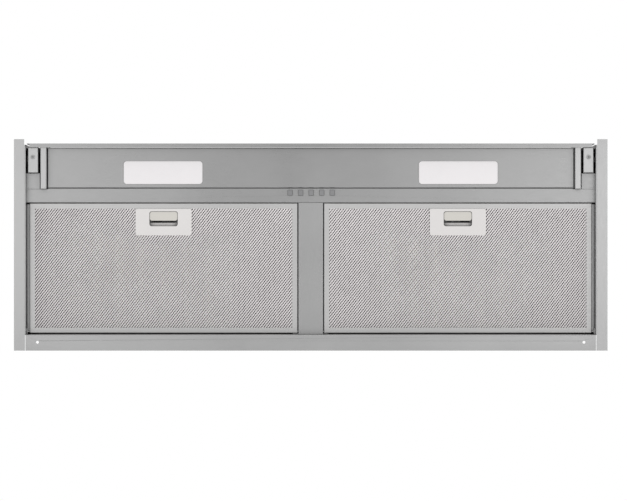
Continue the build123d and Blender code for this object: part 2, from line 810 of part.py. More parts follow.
def impeller_left():
    """Left half of the double-inlet wheel, with the centre disc and the hub."""
    start = -disc / 2
    plate = rod_x(start, disc / 2, fan_y, fan_z, wheel_r)
    hub = rod_x(disc / 2, start + hub_length, fan_y, fan_z, hub_r)
    shaft = rod_x(-wheel_half, wheel_half, fan_y, fan_z, shaft_r)
    return joined([*blade_ring(-wheel_half, start), plate - shaft, hub - shaft])


def impeller_right():
    """Right half, pressed on the disc."""
    return joined(blade_ring(disc / 2, wheel_half))


def motor():
    """Motor can with a bore for the shaft."""
    x0, x1 = motor_x, motor_x + motor_length
    body = rod_x(x0 + motor_cap, x1 - motor_cap, fan_y, fan_z, motor_r)
    body += rod_x(x0, x1, fan_y, fan_z, motor_r - motor_cap)
    return body - rod_x(shaft_x - slip_gap, x1 + 1, fan_y, fan_z, shaft_r + running_gap / 2)


def motor_shaft():
    """Shaft from inside the motor through the wheel's hub, with a nut on its end."""
    nut = hub_length - disc / 2 + running_gap
    shaft = rod_x(shaft_x, nut + 9, fan_y, fan_z, shaft_r)
    return shaft + rod_x(nut, nut + 6, fan_y, fan_z, shaft_r + 3)


def motor_bracket():
    """Three-armed spider that holds the motor in the left inlet."""
    spider = rod_x(motor_x - spider_thick, motor_x, fan_y, fan_z, motor_r + 2)
    reach = spider_r + grommet_r
    arm = Pos(0, reach / 2 + 5, 0) * Box(spider_thick, reach - 10, 16)
    for angle in spider_angles:
        spider += Pos(motor_x - spider_thick / 2, fan_y, fan_z) * Rot(angle, 0, 0) * arm
    return spider


def motor_grommets():
    """Rubber mounts between the spider and the scroll."""
    pieces = []
    for angle in spider_angles:
        y = fan_y + spider_r * cos(radians(angle))
        z = fan_z + spider_r * sin(radians(angle))
        pieces.append(rod_x(motor_x, -scroll_half, y, z, grommet_r))
    return joined(pieces)


def capacitor():
    """Motor capacitor in its saddle, on the fan box wall."""
    wall = box_half_width - sheet
    x, y = wall - saddle - capacitor_r + 0.5, box_rear - 50
    z0, z1 = about(fan_z, capacitor_length / 2)
    can = rod_z(x, y, z0, z1, capacitor_r)
    return can + block(wall - saddle, wall, *about(y, capacitor_r - 3), z0 + 10, z1 - 10)


def outlet_collar():
    """Round duct collar on a square foot, with a stop ring for the flaps."""
    inner = duct_r - collar_wall
    foot = 2 * (duct_r + collar_foot)
    seat = pin_z - damper_thick / 2 - slip_gap
    collar = rounded(0, collar_y, box_top, box_top + foot_thick, foot, foot, 8)
    collar += rod_z(0, collar_y, box_top, collar_top, duct_r)
    collar -= rod_z(0, collar_y, box_top - 1, collar_top + 1, inner)
    stop = rod_z(0, collar_y, seat - collar_wall, seat, inner)
    collar += stop - rod_z(0, collar_y, seat - collar_wall - 1, seat + 1, inner - stop_ring)
    return collar - rod_x(-duct_r - 1, duct_r + 1, collar_y, pin_z, damper_pin_r)


def damper_pin():
    """Pin across the collar."""
    return rod_x(*about(0, duct_r - slip_gap), collar_y, pin_z, damper_pin_r)


def damper(side, knuckles):
    """Half-round flap on the front (-1) or rear (+1) side of the pin, with its two knuckles."""
    r = duct_r - collar_wall - 3 * slip_gap
    flat = about(pin_z, damper_thick / 2)
    start = knuckle_r + slip_gap
    flap = rod_z(0, collar_y, *flat, r)
    other = sorted((collar_y + side * start, collar_y - side * 2 * r))
    flap -= block(-r - 1, r + 1, *other, flat[0] - 1, flat[1] + 1)
    for x0 in knuckles:
        web = sorted((collar_y, collar_y + side * (start + 1)))
        flap += block(x0, x0 + knuckle_length, *web, *flat)
        flap += rod_x(x0, x0 + knuckle_length, collar_y, pin_z, knuckle_r)
    return flap - rod_x(-r - 1, r + 1, collar_y, pin_z, damper_pin_r + running_gap)


# ---- Mains connection ----
def terminal_box():
    """Plastic box on the deck: a floor and three walls. The entry plate closes its right side."""
    t, half = terminal_wall, terminal_size / 2
    x0, x1 = about(terminal_x, half)
    y0, y1 = about(terminal_y, half)
    box = rounded(terminal_x, terminal_y, canopy_height, terminal_top, terminal_size, terminal_size, 5)
    box -= block(x0 + t, x1 + 1, y0 + t, y1 - t, canopy_height + t, terminal_top + 1)
    return box - rod_z(terminal_x, terminal_y, canopy_height - 1, canopy_height + t + 1, gland_r)


def terminal_cover():
    """Lid of the terminal box."""
    size = terminal_size + 2
    return rounded(terminal_x, terminal_y, terminal_top, terminal_top + 3, size, size, 6)


def cable_gland():
    """Entry plate with the gland for the mains cable, which isn't part of the hood."""
    face = terminal_x + terminal_size / 2
    wide = about(terminal_y, terminal_size / 2 - terminal_wall)
    gland = block(face - terminal_wall, face, *wide, canopy_height + terminal_wall, terminal_top)
    gland += rod_x(face - terminal_wall - 4, face, terminal_y, gland_z, gland_r - 2)
    gland += extrude(side_plane(face) * Pos(terminal_y, gland_z) * RegularPolygon(gland_r + 2, 6), 6)
    gland += rod_x(face + 6, face + 18, terminal_y, gland_z, gland_r)
    return gland - rod_x(face - 10, face + 20, terminal_y, gland_z, cable_r)


# ---- Fasteners ----
def rivets():
    """Blind rivets: along the deck's edges, and outside the walls at the brackets' bosses."""
    heads = []
    deck = (canopy_height, canopy_height + rivet_head)
    for x in about(0, wall_x - top_fold / 2):
        for y in (control_y, 0, back_y - 2 * top_fold):
            heads.append(rod_z(x, y, *deck, rivet_r))
    for x in both(wall_x + sheet, wall_x + sheet + rivet_head):
        for z in boss_heights:
            heads.append(rod_x(*x, boss_y, z, rivet_r))
    return joined(heads)


def screws():
    """Pan-head screws: under the corner brackets, on the fan box's foot and lid, and on the collar."""
    heads = []
    for x in about(0, bracket_inner + bracket_width / 2):
        low = hardware_bottom - corner_screw_head
        heads.append(rod_z(x, corner_screw_y, low, hardware_bottom, corner_screw_r))
    foot, lid, base = canopy_height + sheet, box_top, box_top + foot_thick
    for x in about(0, box_half_width + box_flange / 2):
        for y in (-box_front + 20, 0.0, box_rear - 20):
            heads.append(rod_z(x, y, foot, foot + screw_head, screw_r))
    for x in about(0, box_half_width - 14):
        for y in (-box_front + 20, box_rear - 20):
            heads.append(rod_z(x, y, lid, lid + screw_head, screw_r))
    half = duct_r + collar_foot - 9
    for x in about(0, half):
        for y in about(collar_y, half):
            heads.append(rod_z(x, y, base, base + screw_head, screw_r - 0.5))
    return joined(heads)


# ---- Every node ----
save_pair("side_panel", side_panel())
save("rear_panel", rear_panel())
save("top_deck", top_deck())
save("bulkhead", bulkhead())
save("control_plate", control_plate())
save("lamp_panel", lamp_panel())
save("centre_rail", centre_rail())
save("filter_hangers", filter_hangers())

save("front_flap", front_flap())
save_pair("flap_arm", flap_arm())
save_pair("hinge_bracket", hinge_bracket())
save("hinge_pins", hinge_pins())

save_pair("lamp_lens", lamp_lens())
save_pair("lamp_housing", lamp_housing())
save("led_boards", led_boards())
save("led_driver", led_driver())

save("switch_housing", switch_housing())
save("switch_board", switch_board())
for number, x in enumerate(button_x, 1):
    save(f"button_{number}", button(x))

save_pair("filter_frame", filter_frame())
save_pair("filter_net", filter_net())
save_pair("filter_core", filter_core())
save_pair("latch_housing", latch_housing())
save_pair("latch_slider", latch_slider())
save_pair("latch_spring", latch_spring())

save("fan_box", fan_box())
save("fan_box_lid", fan_box_lid())
save_pair("scroll", scroll())
save("impeller_left", impeller_left())
save("impeller_right", impeller_right())
save("motor", motor())
save("motor_shaft", motor_shaft())
save("motor_bracket", motor_bracket())
save("motor_grommets", motor_grommets())
save("capacitor", capacitor())

save("outlet_collar", outlet_collar())
save("damper_pin", damper_pin())
save("damper_rear", damper(1, (-2 * knuckle_pitch, 0)))
save("damper_front", damper(-1, (-knuckle_pitch, knuckle_pitch)))

save("terminal_box", terminal_box())
save("terminal_cover", terminal_cover())
save("cable_gland", cable_gland())
save("rivets", rivets())
save("screws", screws())
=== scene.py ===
"""Looks of a built-in range hood: materials, fine detail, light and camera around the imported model.

Places come from the frame. Sizes are in mm up to where a mesh is made; lamps and camera are in metres.
"""

from math import cos, hypot, pi, radians, sin, tau

import bmesh
import bpy
import numpy as np
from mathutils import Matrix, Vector


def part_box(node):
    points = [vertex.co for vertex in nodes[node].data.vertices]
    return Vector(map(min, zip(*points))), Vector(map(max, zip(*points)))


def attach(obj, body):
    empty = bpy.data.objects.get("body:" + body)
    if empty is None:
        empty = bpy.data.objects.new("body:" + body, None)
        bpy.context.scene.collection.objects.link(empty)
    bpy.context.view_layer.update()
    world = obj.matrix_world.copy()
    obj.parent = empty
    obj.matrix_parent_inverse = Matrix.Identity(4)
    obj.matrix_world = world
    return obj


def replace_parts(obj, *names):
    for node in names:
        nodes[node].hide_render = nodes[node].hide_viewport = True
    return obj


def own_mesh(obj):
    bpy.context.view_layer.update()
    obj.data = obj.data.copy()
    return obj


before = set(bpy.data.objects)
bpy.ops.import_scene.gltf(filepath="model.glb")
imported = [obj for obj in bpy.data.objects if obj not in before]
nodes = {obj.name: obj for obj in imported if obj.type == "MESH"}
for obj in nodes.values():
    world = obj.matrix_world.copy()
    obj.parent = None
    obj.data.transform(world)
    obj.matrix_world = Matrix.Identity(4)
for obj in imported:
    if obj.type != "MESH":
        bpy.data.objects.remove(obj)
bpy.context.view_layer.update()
MM = 0.001
SIDES = ("left", "right")


def box_mm(node):
    """A node's lowest and highest corner at rest, in mm."""
    return tuple(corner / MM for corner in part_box(node))


# ---------------------------------------------------------------- materials
NOISE_RANGE = (0.3, 0.7)  # where nearly all of a noise texture's values lie
WHOLE_RANGE = (0.0, 1.0)
BUMP_DEPTH = 0.2 * MM


def add_node(tree, kind, links=None, values=None, **settings):
    """A new shader node with its settings, its own sockets' values and the links that lead into it."""
    node = tree.nodes.new(kind)
    for key, value in settings.items():
        setattr(node, key, value)
    for key, value in (values or {}).items():
        node.inputs[key].default_value = value
    for key, source in (links or {}).items():
        tree.links.new(source, node.inputs[key])
    return node


class Finish:
    """A node material round one Principled shader. Textures read object coordinates, in metres."""

    def __init__(self, name, **sockets):
        self.mat = bpy.data.materials.new(name)
        self.mat.use_nodes = True
        self.tree = self.mat.node_tree
        self.shader = self.tree.nodes["Principled BSDF"]
        for socket, value in sockets.items():
            self.shader.inputs[socket].default_value = value
        self.place = self.add("ShaderNodeTexCoord").outputs["Object"]

    def add(self, kind, links=None, values=None, **settings):
        return add_node(self.tree, kind, links, values, **settings)

    def drive(self, socket, source):
        self.tree.links.new(source, self.shader.inputs[socket])

    def noise(self, scale, stretch=(1, 1, 1), detail=3.0):
        """Noise of this many waves a metre. stretch divides it along an axis, which draws lines along it."""
        shape = [scale / s for s in stretch]
        mapped = self.add("ShaderNodeMapping", {"Vector": self.place}, {"Scale": shape})
        values = {"Scale": 1.0, "Detail": detail, "Roughness": 0.55}
        return self.add("ShaderNodeTexNoise", {"Vector": mapped.outputs["Vector"]}, values).outputs["Fac"]

    def cells(self, scale):
        """A random grey from 0 to 1 for each cell of a Voronoi pattern, this many to a metre."""
        pattern = self.add("ShaderNodeTexVoronoi", {"Vector": self.place}, {"Scale": scale})
        return self.add("ShaderNodeSeparateColor", {"Color": pattern.outputs["Color"]}).outputs["Red"]

    def span(self, source, low, high, limits):
        """The source's values between the limits, drawn out from low to high."""
        values = {"From Min": limits[0], "From Max": limits[1], "To Min": low, "To Max": high}
        return self.add("ShaderNodeMapRange", {"Value": source}, values).outputs["Result"]

    def around(self, source, middle, change, limits=NOISE_RANGE):
        """The source's values between the limits, drawn out to both sides of a middle value."""
        return self.span(source, middle - change, middle + change, limits)

    def sum(self, first, second):
        return self.add("ShaderNodeMath", {0: first, 1: second}, operation="ADD").outputs[0]

    def tint(self, source, dark, light):
        """Drives the base colour between two colours."""
        ramp = self.add("ShaderNodeValToRGB", {"Fac": source})
        for stop, position, colour in zip(ramp.color_ramp.elements, NOISE_RANGE, (dark, light)):
            stop.position = position
            stop.color = (*colour, 1)
        self.colour = ramp.outputs["Color"]
        self.drive("Base Color", self.colour)

    def paint_shade_in_recesses(self, reach, least, closed=0.25, clear=0.95):
        """Painted shade: darkens the base colour, down to least, in recesses and corners within the reach in
        mm, as far as ambient occlusion finds them closed in.
        """
        nearby = self.add("ShaderNodeAmbientOcclusion", values={"Distance": reach * MM}, samples=8)
        share = self.span(nearby.outputs["AO"], least, 1.0, (closed, clear))
        shaded = self.add("ShaderNodeVectorMath", {0: self.colour, "Scale": share}, operation="SCALE")
        self.drive("Base Color", shaded.outputs[0])

    def bump(self, source, strength):
        values = {"Strength": strength, "Distance": BUMP_DEPTH}
        self.drive("Normal", self.add("ShaderNodeBump", {"Height": source}, values).outputs["Normal"])


def grey(value, warm=0.0):
    """A near-neutral colour: warm lifts red and lowers blue."""
    return (value * (1 + warm), value, value * (1 - warm))


def brushed(name, along, dark, light, rough, shade=0.55):
    """Satin steel, brushed along one axis, with faint cloudy marks from handling, and painted shade down to
    shade in its recesses and corners.
    """
    f = Finish(name, Metallic=1.0)
    stretch = [60.0 if axis == along else 1.0 for axis in "xyz"]
    lines = f.noise(2600.0, stretch, detail=4.0)
    clouds = f.noise(9.0, detail=4.0)
    f.tint(f.sum(f.around(lines, 0, 0.12, (0.2, 0.8)), clouds), dark, light)
    f.drive("Roughness", f.sum(f.around(lines, rough, 0.05), f.around(clouds, 0, 0.025)))
    f.bump(lines, 0.05)
    f.paint_shade_in_recesses(14.0, shade)
    return f.mat


def galvanised(name, dark, light, rough):
    """Zinc-coated sheet with soft spangles."""
    f = Finish(name, Metallic=1.0)
    spangle = f.cells(150.0)
    fine = f.noise(1400.0, detail=4.0)
    clouds = f.noise(14.0)
    f.tint(f.sum(f.around(spangle, 0.5, 0.12, WHOLE_RANGE), f.around(fine, 0, 0.05)), dark, light)
    f.drive("Roughness", f.sum(f.around(spangle, rough, 0.07, WHOLE_RANGE), f.around(clouds, 0, 0.03)))
    f.bump(fine, 0.08)
    return f.mat


def moulded(name, colour, rough, texture=1.0, spread=0.06, shade=(7.0, 0.22), **sockets):
    """Moulded plastic or paint with a fine leathery texture. shade sets the painted shade that darkens its
    colour in recesses and corners.
    """
    f = Finish(name, **sockets)
    fine = f.noise(3200.0, detail=2.0)
    clouds = f.noise(22.0, detail=4.0)
    dark = [c * (1 - spread) for c in colour]
    light = [min(1.0, c * (1 + spread)) for c in colour]
    f.tint(clouds, dark, light)
    f.drive("Roughness", f.sum(f.around(fine, rough, 0.06), f.around(clouds, 0, 0.04)))
    f.bump(fine, 0.12 * texture)
    f.paint_shade_in_recesses(*shade)
    return f.mat


def strands(name, dark, light, rough):
    """Metal strands, each with its own slight shade and a thin film of grease."""
    f = Finish(name, Metallic=1.0)
    shade = f.cells(420.0)
    film = f.noise(30.0, detail=4.0)
    f.tint(f.sum(f.around(shade, 0.5, 0.14, WHOLE_RANGE), f.around(film, 0, 0.06)), dark, light)
    f.drive("Roughness", f.around(film, rough, 0.06))
    f.bump(f.noise(2400.0), 0.1)
    return f.mat


# shade is the least of the painted shade that darkens each steel's colour in its recesses and corners.
STEEL = brushed("steel", "x", grey(0.255), grey(0.285), 0.33, shade=0.85)
STEEL_ACROSS = brushed("steel_across", "y", grey(0.29), grey(0.315), 0.34, shade=0.85)
SIDE_STEEL = brushed("side_steel", "y", grey(0.325), grey(0.355), 0.36)
REAR_STEEL = brushed("rear_steel", "x", grey(0.31), grey(0.34), 0.36)
FRAME_STEEL = brushed("frame_steel", "x", grey(0.395, 0.006), grey(0.43, 0.006), 0.42, shade=0.85)
HARDWARE = brushed("hardware", "y", grey(0.35), grey(0.385), 0.36, shade=0.7)
ZINC = galvanised("zinc", grey(0.42, -0.015), grey(0.53, -0.015), 0.4)
BRIGHT = brushed("bright_steel", "z", grey(0.46), grey(0.54), 0.24)
SCREW = brushed("screw_steel", "z", grey(0.3), grey(0.38), 0.36)
SPRING = brushed("spring_steel", "y", grey(0.2), grey(0.3), 0.35)
NET = strands("filter_mesh", (0.61, 0.584, 0.587), (0.725, 0.694, 0.697), 0.36)
# The two inner filter layers are near-black: a copy of the net's aluminium darkened as painted shade for the
# inside of the filter.
CORE_PAINTED_SHADE = strands("filter_core", (0.04, 0.037, 0.036), (0.08, 0.074, 0.072), 0.5)
# The back layer is the net's aluminium with painted shade: a darker copy, which keeps the gaps dark from
# below.
SHADED_BACK_NET = strands("back_mesh", (0.3, 0.288, 0.284), (0.42, 0.403, 0.4), 0.42)
# The latch plastics carry strong painted shade: the housing darkens to 0.12 in the pocket and ramp round the
# slider, the slider to 0.3.
LATCH = moulded(
    "latch_plastic", (0.76, 0.738, 0.728), 0.38, texture=0.6, spread=0.02, shade=(9.0, 0.12, 0.45, 0.9)
)
SLIDER = moulded("slider_plastic", (0.655, 0.633, 0.588), 0.38, texture=0.6, spread=0.02, shade=(4.0, 0.3))
BUTTON = moulded("button_plastic", (0.24, 0.24, 0.245), 0.4)
LENS = moulded("lens", (0.88, 0.855, 0.866), 0.3, texture=0.5, spread=0.012)
LAMP_BODY = moulded("lamp_body", (0.7, 0.7, 0.69), 0.45)
BOARD = moulded("board", (0.03, 0.16, 0.07), 0.4)
SCROLL = moulded("scroll_plastic", (0.035, 0.035, 0.037), 0.45, texture=1.5)
WHEEL = moulded("wheel_plastic", (0.16, 0.165, 0.175), 0.4)
MOTOR = moulded("motor_metal", (0.28, 0.285, 0.3), 0.38, Metallic=0.85)
RUBBER = moulded("rubber", (0.025, 0.025, 0.025), 0.75, texture=2.0)
BOX = moulded("box_plastic", (0.05, 0.05, 0.053), 0.45, texture=1.6)
CAPACITOR = moulded("capacitor_body", (0.66, 0.66, 0.67), 0.3)

FINISHES = {
    STEEL: "control_plate lamp_panel front_flap",
    STEEL_ACROSS: "centre_rail filter_hangers",
    SIDE_STEEL: "side_panel_left side_panel_right",
    REAR_STEEL: "rear_panel",
    HARDWARE: "flap_arm_left flap_arm_right hinge_bracket_left hinge_bracket_right",
    FRAME_STEEL: "filter_frame_left filter_frame_right",
    ZINC: "top_deck bulkhead fan_box fan_box_lid motor_bracket outlet_collar damper_rear damper_front",
    BRIGHT: "hinge_pins motor_shaft damper_pin",
    NET: "filter_net_left filter_net_right",
    CORE_PAINTED_SHADE: "filter_core_left filter_core_right",
    LATCH: "latch_housing_left latch_housing_right",
    SLIDER: "latch_slider_left latch_slider_right",
    BUTTON: "button_1 button_2 button_3 button_4 button_5",
    LENS: "lamp_lens_left lamp_lens_right",
    LAMP_BODY: "lamp_housing_left lamp_housing_right switch_housing led_driver",
    BOARD: "led_boards switch_board",
    SCROLL: "scroll_left scroll_right",
    WHEEL: "impeller_left impeller_right",
    MOTOR: "motor",
    RUBBER: "motor_grommets",
    BOX: "terminal_box terminal_cover cable_gland",
    CAPACITOR: "capacitor",
}
for material, names in FINISHES.items():
    for name in names.split():
        nodes[name].data.materials.clear()
        nodes[name].data.materials.append(material)


# ---------------------------------------------------------------- softened edges on the CAD's own pieces
SHARP = radians(32)  # an edge that turns more than this is rounded


def soften(node, width):
    """Rounds a node's sharp edges by modifiers, which leave its own mesh as it is. Width in mm."""
    for polygon in nodes[node].data.polygons:
        polygon.use_smooth = True
    modifiers = nodes[node].modifiers
    weld = modifiers.new("weld", "WELD")
    weld.merge_threshold = 0.005 * MM
    bevel = modifiers.new("bevel", "BEVEL")
    bevel.width = width * MM
    bevel.segments = 2
    bevel.limit_method = "ANGLE"
    bevel.angle_limit = SHARP
    bevel.use_clamp_overlap = True
    bevel.miter_outer = "MITER_SHARP"
    normal = modifiers.new("normal", "WEIGHTED_NORMAL")
    normal.weight = 80
    normal.keep_sharp = True


SOFT_EDGES = {
    0.3: "side_panel_left side_panel_right rear_panel control_plate lamp_panel centre_rail front_flap "
    "filter_frame_left filter_frame_right fan_box fan_box_lid top_deck bulkhead filter_hangers",
    0.25: "flap_arm_left flap_arm_right hinge_bracket_left hinge_bracket_right",
    0.4: "latch_housing_left latch_housing_right outlet_collar damper_rear damper_front motor_bracket",
    0.6: "latch_slider_left latch_slider_right lamp_lens_left lamp_lens_right",
    0.7: "button_1 button_2 button_3 button_4 button_5 switch_housing lamp_housing_left lamp_housing_right",
    0.8: "scroll_left scroll_right led_driver terminal_box terminal_cover cable_gland capacitor motor",
}
for width, names in SOFT_EDGES.items():
    for name in names.split():
        soften(name, width)


# ---------------------------------------------------------------- new pieces
BLUNT = radians(38)  # an edge that turns less than this is shaded smooth


def new_piece(name, mesh, material, body):
    """A piece from a mesh in metres, which rides on a body."""
    mesh.materials.append(material)
    thing = bpy.data.objects.new(name, mesh)
    bpy.context.scene.collection.objects.link(thing)
    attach(thing, body)
    return thing


def quad_piece(name, verts, quads, material, body):
    """A flat-shaded piece from two arrays: points in mm, and four corners a face."""
    mesh = bpy.data.meshes.new(name)
    mesh.vertices.add(len(verts))
    mesh.vertices.foreach_set("co", (verts * MM).astype(np.float32).ravel())
    mesh.loops.add(quads.size)
    mesh.loops.foreach_set("vertex_index", quads.astype(np.int32).ravel())
    mesh.polygons.add(len(quads))
    mesh.polygons.foreach_set("loop_start", np.arange(0, quads.size, 4, dtype=np.int32))
    mesh.polygons.foreach_set("use_smooth", np.zeros(len(quads), bool))
    mesh.update(calc_edges=True)
    return new_piece(name, mesh, material, body)


def built(name, parts, material, body):
    """A piece from several parts in mm. Its faces are turned outwards, and blunt edges are smooth."""
    verts, faces = [], []
    for part_verts, part_faces in parts:
        start = len(verts)
        verts += [tuple(Vector(v) * MM) for v in part_verts]
        faces += [tuple(i + start for i in face) for face in part_faces]
    mesh = bpy.data.meshes.new(name)
    mesh.from_pydata(verts, [], faces)
    shape = bmesh.new()
    shape.from_mesh(mesh)
    bmesh.ops.recalc_face_normals(shape, faces=shape.faces)
    for edge in shape.edges:
        edge.smooth = edge.calc_face_angle(0) < BLUNT
    for face in shape.faces:
        face.smooth = True
    shape.to_mesh(mesh)
    shape.free()
    return new_piece(name, mesh, material, body)


# ---------------------------------------------------------------- grease filters
NET_VECTORS = ((1.891, 2.886), (-1.891, 2.386))  # a strand runs along each from every lattice point
NET_WIDTHS = (0.75, 1.6)
NET_HEIGHT = 0.75
NET_EDGE = 0.2  # from the edge of the CAD's sheet to the strands
LAYER_STRETCH = (1.7, 1.55)  # the inner layers' lattice against the net's, across and along
LAYER_WIDTHS = (1.9, 1.9)
LAYER_HEIGHT = 0.8
POCKET_HALF = 23.6
POCKET_START, POCKET_END = 1.4, 28.9  # behind the latch plate's front edge
TONGUE_HALF = 11.0
STRAND_SIDES = [(k, (k + 1) % 4, (k + 1) % 4 + 4, k + 4) for k in range(4)]
STRAND_ENDS = [(0, 3, 2, 1), (4, 5, 6, 7)]


def within(points, area):
    """Which points lie in an area, given as a span in x and a span in y."""
    (x0, x1), (y0, y1) = area
    x, y = points.T
    return (x > x0) & (x < x1) & (y > y0) & (y < y1)


def expanded_net(area, holes, z, height, widths, vectors):
    """Strands of expanded metal over an area, but not in its holes. z is their underside."""
    (x0, x1), (y0, y1) = area
    (ux, uy), (vx, vy) = vectors
    # The lattice is cut from one that is surely larger than the area.
    reach = int(max(x1 - x0, y1 - y0) / min(hypot(ux, uy), hypot(vx, vy))) + 4
    i, j = np.meshgrid(np.arange(-reach, reach), np.arange(-reach, reach))
    x = (x0 + x1) / 2 + i * ux + j * vx
    y = (y0 + y1) / 2 + i * uy + j * vy
    points = np.stack([x.ravel(), y.ravel()], 1)
    verts, quads, count = [], [], 0
    for (dx, dy), width, tilt in zip(vectors, widths, (1, -1)):
        ends = (points, points + (dx, dy))
        keep = within(ends[0], area) & within(ends[1], area)
        for hole in holes:
            keep &= ~within(ends[0], hole) & ~within(ends[1], hole)
        side = np.array([-dy, dx]) / hypot(dx, dy) * width / 2
        half = height / 2
        # The section leans over, as cut and stretched metal does.
        section = [(-1, -half * 0.9), (1, -half * 0.1), (1, half * 0.9), (-1, half * 0.1)]
        corners = []
        for end in ends:
            for across, rise in section:
                xy = end[keep] + side * across
                level = np.full((len(xy), 1), z + half + rise * tilt)
                corners.append(np.hstack([xy, level]))
        block = np.stack(corners, 1).reshape(-1, 3)
        first = np.arange(len(xy))[:, None] * 8 + count
        quads += [first + np.array(quad) for quad in STRAND_SIDES + STRAND_ENDS]
        verts.append(block)
        count += len(block)
    return np.concatenate(verts), np.concatenate(quads)


def filter_mesh(side):
    """One filter's fine net and the three wider layers above it, left open where the latch sits."""
    body = f"filter_{side}"
    low, high = box_mm(f"filter_net_{side}")
    area = ((low.x + NET_EDGE, high.x - NET_EDGE), (low.y + NET_EDGE, high.y - NET_EDGE))
    middle = (low.x + high.x) / 2
    plate_front = box_mm(f"latch_housing_{side}")[0].y
    pocket_front, pocket_rear = plate_front + POCKET_START, plate_front + POCKET_END
    pocket = ((middle - POCKET_HALF, middle + POCKET_HALF), (pocket_front, pocket_rear))
    tongue = ((middle - TONGUE_HALF, middle + TONGUE_HALF), (low.y - 1, pocket_front))
    holes = (pocket, tongue)
    verts, quads = expanded_net(area, holes, low.z, NET_HEIGHT, NET_WIDTHS, NET_VECTORS)
    net = quad_piece(f"fine_mesh_{side}", verts, quads, NET, body)
    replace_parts(net, f"filter_net_{side}")

    core_low, core_high = box_mm(f"filter_core_{side}")
    rise = (core_high.z - core_low.z - LAYER_HEIGHT) / 2
    layers = []
    for level, mirror in enumerate((1, -1, 1)):
        vectors = [(x * mirror * LAYER_STRETCH[0], y * LAYER_STRETCH[1]) for x, y in NET_VECTORS]
        z = core_low.z + rise * level
        layers.append(expanded_net(area, holes, z, LAYER_HEIGHT, LAYER_WIDTHS, vectors))
    (low_verts, low_quads), (next_verts, next_quads), (back_verts, back_quads) = layers
    verts = np.concatenate([low_verts, next_verts])
    quads = np.concatenate([low_quads, next_quads + len(low_verts)])
    # The two lower layers are near-black, painted shade for the inside of the filter.
    core = quad_piece(f"mesh_layers_{side}", verts, quads, CORE_PAINTED_SHADE, body)
    # The top layer is aluminium darkened by painted shade.
    quad_piece(f"back_mesh_{side}", back_verts, back_quads, SHADED_BACK_NET, body)
    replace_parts(core, f"filter_core_{side}")


for side in SIDES:
    filter_mesh(side)


# ---------------------------------------------------------------- shapes of small turned and pressed parts
BEAD_FOOT = 0.15  # how far a bead's foot lies under the face


def turned(profile, sides=32):
    """A profile of (radius, height) points turned round Z, from the axis back to it or closed on itself."""
    verts, rings, faces = [], [], []
    for radius, height in profile:
        count = sides if radius else 1
        rings.append(range(len(verts), len(verts) + count))
        for k in range(count):
            verts.append((radius * cos(tau * k / sides), radius * sin(tau * k / sides), height))
    for low, high in zip(rings, rings[1:]):
        for k in range(sides):
            turn = (low[k % len(low)], low[(k + 1) % len(low)])
            back = (high[(k + 1) % len(high)], high[k % len(high)])
            faces.append(tuple(dict.fromkeys(turn + back)))
    return verts, faces


def cross_head(radius, height):
    """A pan head with a cross recess, on its seat at height 0."""
    steps, slot, reach, depth = 12, 0.15 * radius, 0.58 * radius, 0.6 * height
    shares = [i / steps for i in range(steps + 1)]
    dome = [(radius * (1 - share), height * (0.45 + 0.55 * share**0.5)) for share in shares]
    verts, faces = turned([(0, 0), (radius, 0), *dome], sides=48)
    for i, (x, y, z) in enumerate(verts):
        if z > 0 and min(abs(x), abs(y)) < slot and hypot(x, y) < reach:
            verts[i] = (x, y, z - depth)
    return verts, faces


def rivet_head(radius, height):
    """A domed blind rivet with the hole of its pulled stem."""
    dome = [(0, 0), (1, 0), (1, 0.25), (0.8, 0.8), (0.45, 1), (0.3, 1), (0.26, 0.5), (0, 0.5)]
    return turned([(r * radius, z * height) for r, z in dome])


def coil(length, radius, wire, turns):
    """A spring along Z, from 0 to length. radius is to the middle of the wire, and wire is its own."""
    steps, sides = 20, 8
    count = turns * steps + 1
    verts, faces = [], []
    for i in range(count):
        out = Vector((cos(tau * i / steps), sin(tau * i / steps), 0))
        middle = out * radius + Vector((0, 0, wire + (length - 2 * wire) * i / (count - 1)))
        for k in range(sides):
            verts.append(middle + wire * (out * cos(tau * k / sides) + Vector((0, 0, sin(tau * k / sides)))))
    for low in range(0, (count - 1) * sides, sides):
        high = low + sides
        for k in range(sides):
            following = (k + 1) % sides
            faces.append((low + k, low + following, high + following, high + k))
    faces += [tuple(range(sides)), tuple(range(len(verts) - sides, len(verts)))]
    return verts, faces


def bead(points, normal, width, height, closed=False):
    """A pressed half-round bead along points on a face with this normal. Open ends are rounded off."""
    normal = Vector(normal)
    points = [Vector(p) for p in points]
    count = len(points)
    stations = []
    for i, point in enumerate(points):
        before = points[i - 1] if closed or i else point
        after = points[(i + 1) % count] if closed or i < count - 1 else point
        stations.append((point, (after - before).normalized(), 1.0))
    if not closed:
        angles = [radians(a) for a in (25, 50, 70, 85)]
        ends = []
        for (point, along, _), sign in ((stations[0], -1), (stations[-1], 1)):
            ends.append([(point + along * sign * width / 2 * sin(a), along, cos(a)) for a in angles])
        stations = ends[0][::-1] + stations + ends[1]
    steps, verts, faces = 6, [], []
    for point, along, scale in stations:
        side = normal.cross(along)
        for k in range(steps + 1):
            across = -cos(pi * k / steps)
            rise = height * sin(pi * k / steps) * scale - BEAD_FOOT
            verts.append(point + side * across * scale * width / 2 + normal * rise)
    total = len(stations)
    for i in range(total if closed else total - 1):
        low, high = i * (steps + 1), (i + 1) % total * (steps + 1)
        for k in range(steps + 1):
            following = (k + 1) % (steps + 1)
            faces.append((low + k, low + following, high + following, high + k))
    if not closed:
        faces += [tuple(range(steps + 1)), tuple(range(len(verts) - steps - 1, len(verts)))]
    return verts, faces


